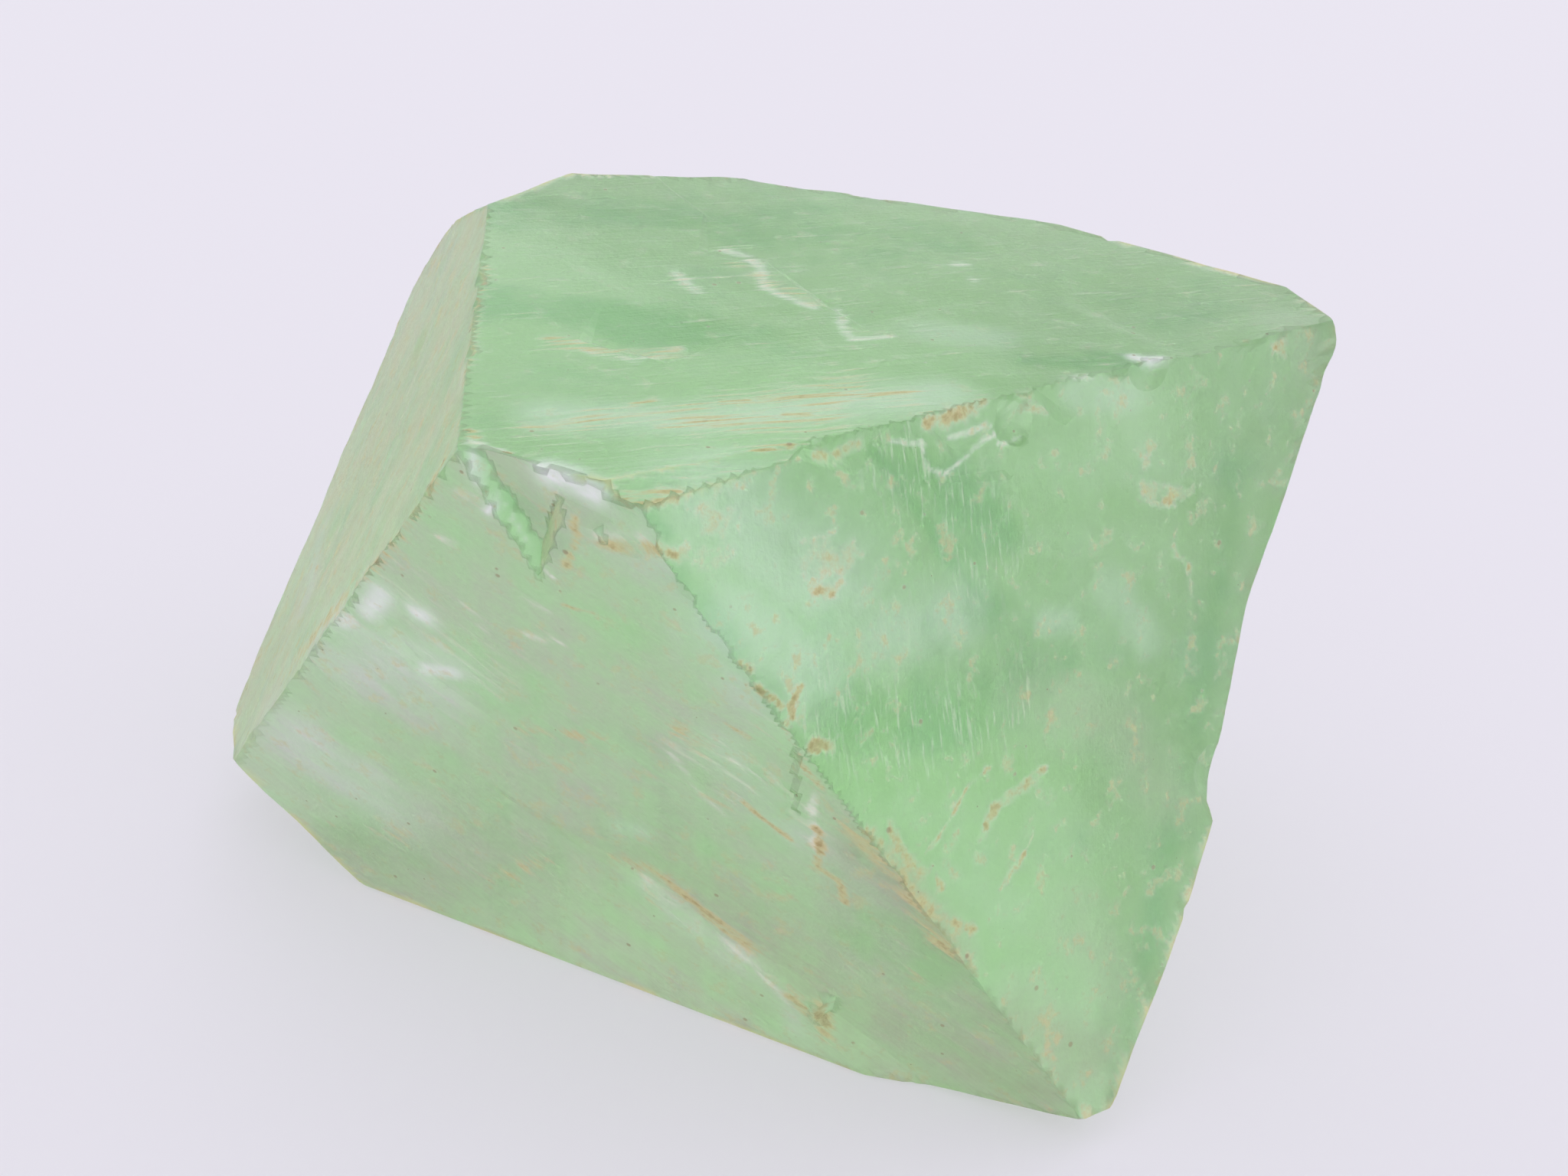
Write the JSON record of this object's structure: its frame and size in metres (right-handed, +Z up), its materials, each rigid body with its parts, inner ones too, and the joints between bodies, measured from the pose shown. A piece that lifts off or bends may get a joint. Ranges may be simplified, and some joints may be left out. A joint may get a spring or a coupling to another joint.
{
  "type": "fluorite crystal",
  "caption": "Loose cleavage octahedron of pale green see-through fluorite with stepped ledges, flake scars and chipped edges, resting on one face.",
  "frame": {"origin": "under the middle of the crystal's box, on the surface it rests on", "axes": "+Z up from the face it rests on, +X along the short front ridge, +Y away from the front face"},
  "size_m": [0.015, 0.0138, 0.0096],
  "materials": {
    "fluorite": "pale mint green, hazy see-through, silky cleavage faces with iron stain and dust"
  },
  "bodies": {
    "root": {"crystal": "fluorite"}
  },
  "joints": []
}
